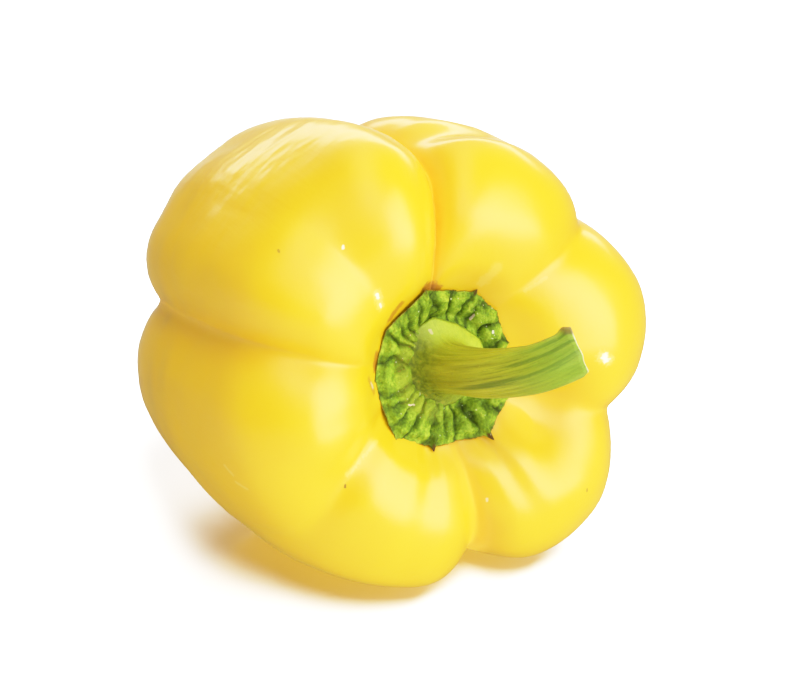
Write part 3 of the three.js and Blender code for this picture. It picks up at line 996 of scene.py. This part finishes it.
def first_seen(surfaces, pixel):
    """The piece that is nearest to the camera at a pixel of the photograph, and the point on it."""
    right, up, back = basis_towards(VIEW_AZIMUTH, VIEW_ELEVATION)
    eye = axis_start + (VIEW_TARGET + back * VIEW_DISTANCE) * MM
    across = (pixel[0] - IMAGE_WIDTH / 2) / FOCAL_PIXELS
    down = (pixel[1] - IMAGE_HEIGHT / 2) / FOCAL_PIXELS
    ray = right * across - up * down - back
    seen = {}
    for piece, surface in surfaces:
        point, _, _, distance = surface.ray_cast(eye, ray)
        if point is not None:
            seen[distance] = (piece, point)
    return seen[min(seen)]


def basis_towards(azimuth, elevation):
    """The directions to the right, up and out of a plane that faces this way."""
    turn = math.radians(azimuth)
    rise = math.radians(elevation)
    right = Vector((math.cos(turn), math.sin(turn), 0))
    out = Vector((math.sin(turn) * math.cos(rise), -math.cos(turn) * math.cos(rise), math.sin(rise)))
    return right, out.cross(right), out


def make_camera():
    right, up, back = basis_towards(VIEW_AZIMUTH, VIEW_ELEVATION)
    camera_data = bpy.data.cameras.new("camera")
    camera_data.sensor_width = SENSOR_WIDTH
    camera_data.lens = FOCAL_PIXELS * SENSOR_WIDTH / IMAGE_WIDTH
    camera_data.clip_start = 0.01
    camera = new_object("camera", camera_data)
    target = axis_start + VIEW_TARGET * MM
    turn = Matrix((right, up, back)).transposed().to_4x4()
    camera.matrix_world = Matrix.Translation(target + back * VIEW_DISTANCE * MM) @ turn
    bpy.context.scene.camera = camera


def make_floor():
    finish = Finish("floor white")
    finish.set(Base_Color=(FLOOR_GREY, FLOOR_GREY, FLOOR_GREY, 1), Roughness=0.16)
    half = FLOOR_HALF_SIZE
    corners = [(-half, -half, 0), (half, -half, 0), (half, half, 0), (-half, half, 0)]
    mesh = bpy.data.meshes.new("floor")
    mesh.from_pydata(corners, [], [(0, 1, 2, 3)])
    mesh.materials.append(finish.material)
    floor = new_object("floor", mesh)
    floor.visible_glossy = False
    floor.visible_diffuse = False
    return floor


def make_tones():
    """Draws the brightest tones in softly, as a photograph does."""
    settings = bpy.context.scene.view_settings
    settings.view_transform = "Standard"
    settings.use_curve_mapping = True
    settings.curve_mapping.white_level = (WHITE_LIGHT, WHITE_LIGHT, WHITE_LIGHT)
    all_channels = settings.curve_mapping.curves[3]
    for light, tone in TONES:
        all_channels.points.new(light / WHITE_LIGHT, tone)
    settings.curve_mapping.update()


def make_bloom():
    """Lets the brightest light spread a little over the outlines, as a lens does."""
    scene = bpy.context.scene
    scene.use_nodes = True
    lens = Graph(scene.node_tree)
    seen = Value(lens, lens.tree.nodes["Render Layers"].outputs["Image"])
    bloom = lens.add("CompositorNodeGlare", {"glare_type": "BLOOM"}, {
        "Image": seen, "Threshold": 1.0, "Clamp": True, "Maximum": 2.0, "Strength": 0.12, "Size": 0.08,
    })
    lens.tree.links.new(bloom.socket, lens.tree.nodes["Composite"].inputs["Image"])


def make_panels():
    """Dim surroundings with soft-edged light panels in them."""
    world = bpy.data.worlds.new("studio")
    world.use_nodes = True
    bpy.context.scene.world = world
    studio = Graph(world.node_tree)
    towards = studio.add("ShaderNodeTexCoord", output="Generated")
    strength = SURROUNDINGS
    for panel in LIGHT_PANELS:
        right, up, out = basis_towards(panel["azimuth"], panel["elevation"])
        ahead = studio.vector_math("DOT_PRODUCT", towards, out, output="Value")
        sideways = studio.vector_math("DOT_PRODUCT", towards, right, output="Value") / ahead
        upwards = studio.vector_math("DOT_PRODUCT", towards, up, output="Value") / ahead
        lit = (ahead > 0.0) * panel["strength"]
        for away, half in ((sideways, panel["half_width"]), (upwards, panel["half_height"])):
            edge = math.tan(math.radians(half))
            soft = edge * panel["soft"]
            lit = lit * (1 - studio.smooth(abs(away), edge - soft, edge + soft))
        strength = strength + lit
    background = world.node_tree.nodes["Background"]
    background.inputs["Color"].default_value = (1, 1, 1, 1)
    world.node_tree.links.new(strength.socket, background.inputs["Strength"])


def make_lamps(floor, pieces):
    """The lamps that light the fruit alone, those that light the floor alone, and the fruit's warm glow."""
    floor_alone = bpy.data.collections.new("floor alone")
    floor_alone.objects.link(floor)
    fruit_alone = bpy.data.collections.new("fruit alone")
    for piece in pieces:
        fruit_alone.objects.link(piece)
    for settings in FRUIT_LAMPS:
        panel_lamp(settings, fruit_alone, fruit_alone)
    for settings in FLOOR_LAMPS:
        panel_lamp(settings, floor_alone, fruit_alone)

    glow = new_lamp("glow", "POINT", GLOW_POWER, floor_alone, floor_alone)
    glow.data.color = GLOW_COLOUR
    glow.data.shadow_soft_size = GLOW_RADIUS
    glow.location = axis_start + LYING @ Vector((0, GLOW_HEIGHT, CREST_LINE[-1][1] / 2)) * MM


def panel_lamp(settings, lit, blocking):
    lamp = new_lamp("lamp", "AREA", settings["power"], lit, blocking)
    lamp.data.shape = "RECTANGLE"
    lamp.data.size, lamp.data.size_y = settings["size"]
    right, up, out = basis_towards(settings["azimuth"], settings["elevation"])
    turn = Matrix((right, up, out)).transposed().to_4x4()
    lamp.matrix_world = Matrix.Translation(out * LAMP_DISTANCE) @ turn


def new_lamp(name, kind, power, lit, blocking):
    """A lamp that lights the objects of one collection and is blocked by those of another."""
    lamp_data = bpy.data.lights.new(name, kind)
    lamp_data.energy = power
    lamp = new_object(name, lamp_data)
    lamp.visible_glossy = False
    lamp.light_linking.receiver_collection = lit
    lamp.light_linking.blocker_collection = blocking
    return lamp


make_camera()
make_tones()
make_bloom()
make_panels()
make_lamps(make_floor(), make_pieces())
